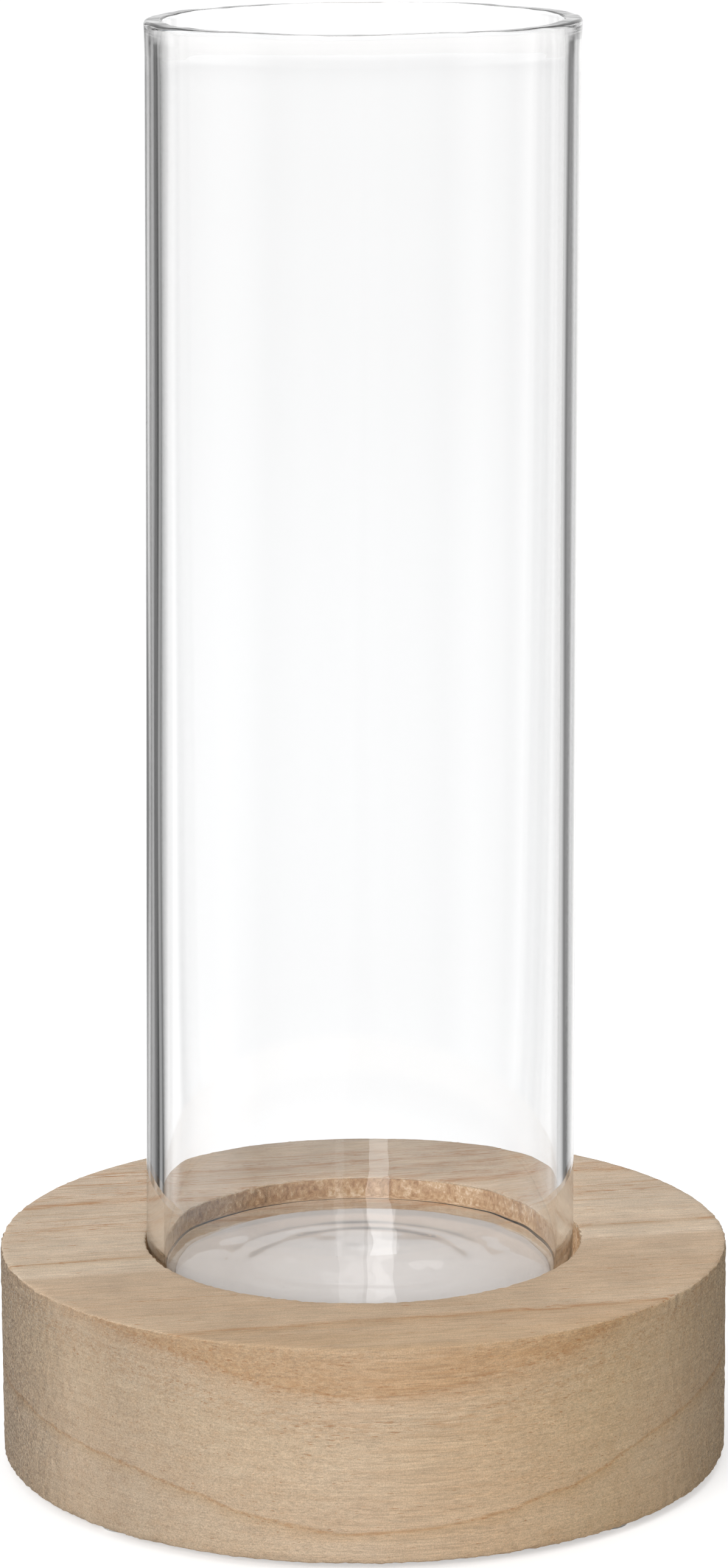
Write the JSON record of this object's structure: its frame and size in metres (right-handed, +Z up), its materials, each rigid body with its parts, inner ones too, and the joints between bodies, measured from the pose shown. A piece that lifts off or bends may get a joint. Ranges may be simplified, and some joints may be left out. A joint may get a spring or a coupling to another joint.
{
  "type": "led vase",
  "caption": "Clear glass cylinder vase standing loose in a recess of a round wooden base, with a battery lamp under an opal cap that lights the glass from below.",
  "frame": {"origin": "centre of the base on the surface that the foot pads stand on", "axes": "+Z up along the axis of base and glass; the side that the picture shows faces -Y; +X is to the right in the picture"},
  "size_m": [0.1, 0.1, 0.1976],
  "materials": {
    "pale_wood": "raw, finely sanded, open pores",
    "clear_glass": "clear, polished",
    "opal_cap": "translucent white, satin",
    "white_plastic": "moulded, finely textured",
    "board": "white solder mask",
    "led_body": "phosphor under clear resin",
    "resistor_body": "glazed",
    "cell_jacket": "printed film, glossy",
    "nickel_plate": "nickel plated",
    "zinc_steel": "zinc plated",
    "black_plastic": "moulded, satin",
    "red_insulation": "smooth",
    "black_insulation": "smooth",
    "pad_rubber": "milky silicone, matte"
  },
  "bodies": {
    "base": {"wood_base": "pale_wood", "diffuser": "opal_cap", "led_board": "board", "led_1": "led_body", "led_2": "led_body", "led_3": "led_body", "led_4": "led_body", "led_5": "led_body", "led_6": "led_body", "led_resistor": "resistor_body", "lamp_housing": "white_plastic", "housing_cover": "white_plastic", "battery_1": "cell_jacket", "battery_2": "cell_jacket", "battery_3": "cell_jacket", "battery_spring_1": "nickel_plate", "battery_spring_2": "nickel_plate", "battery_spring_3": "nickel_plate", "contact_positive": "nickel_plate", "contact_negative": "nickel_plate", "contact_bridge_left": "nickel_plate", "contact_bridge_right": "nickel_plate", "switch_body": "black_plastic", "wire_positive": "red_insulation", "wire_switched": "red_insulation", "wire_negative": "black_insulation", "housing_screw_1": "zinc_steel", "housing_screw_2": "zinc_steel", "housing_screw_3": "zinc_steel", "housing_screw_4": "zinc_steel", "foot_pad_1": "pad_rubber", "foot_pad_2": "pad_rubber", "foot_pad_3": "pad_rubber", "foot_pad_4": "pad_rubber"},
    "glass": {"glass_vessel": "clear_glass"},
    "hatch": {"battery_hatch": "white_plastic"},
    "slider": {"switch_slider": "black_plastic"}
  },
  "joints": [
    {"name": "glass_lift", "type": "slide", "parent": "base", "child": "glass", "axis": [0, 0, 1], "range_m": [0, 0.05]},
    {"name": "hatch_hinge", "type": "hinge", "parent": "base", "child": "hatch", "pos_m": [-0.02505, 0, 0.0023], "axis": [0, 1, 0], "range_deg": [0, 95]},
    {"name": "switch_slide", "type": "slide", "parent": "base", "child": "slider", "axis": [1, 0, 0], "range_m": [0, 0.002]}
  ]
}
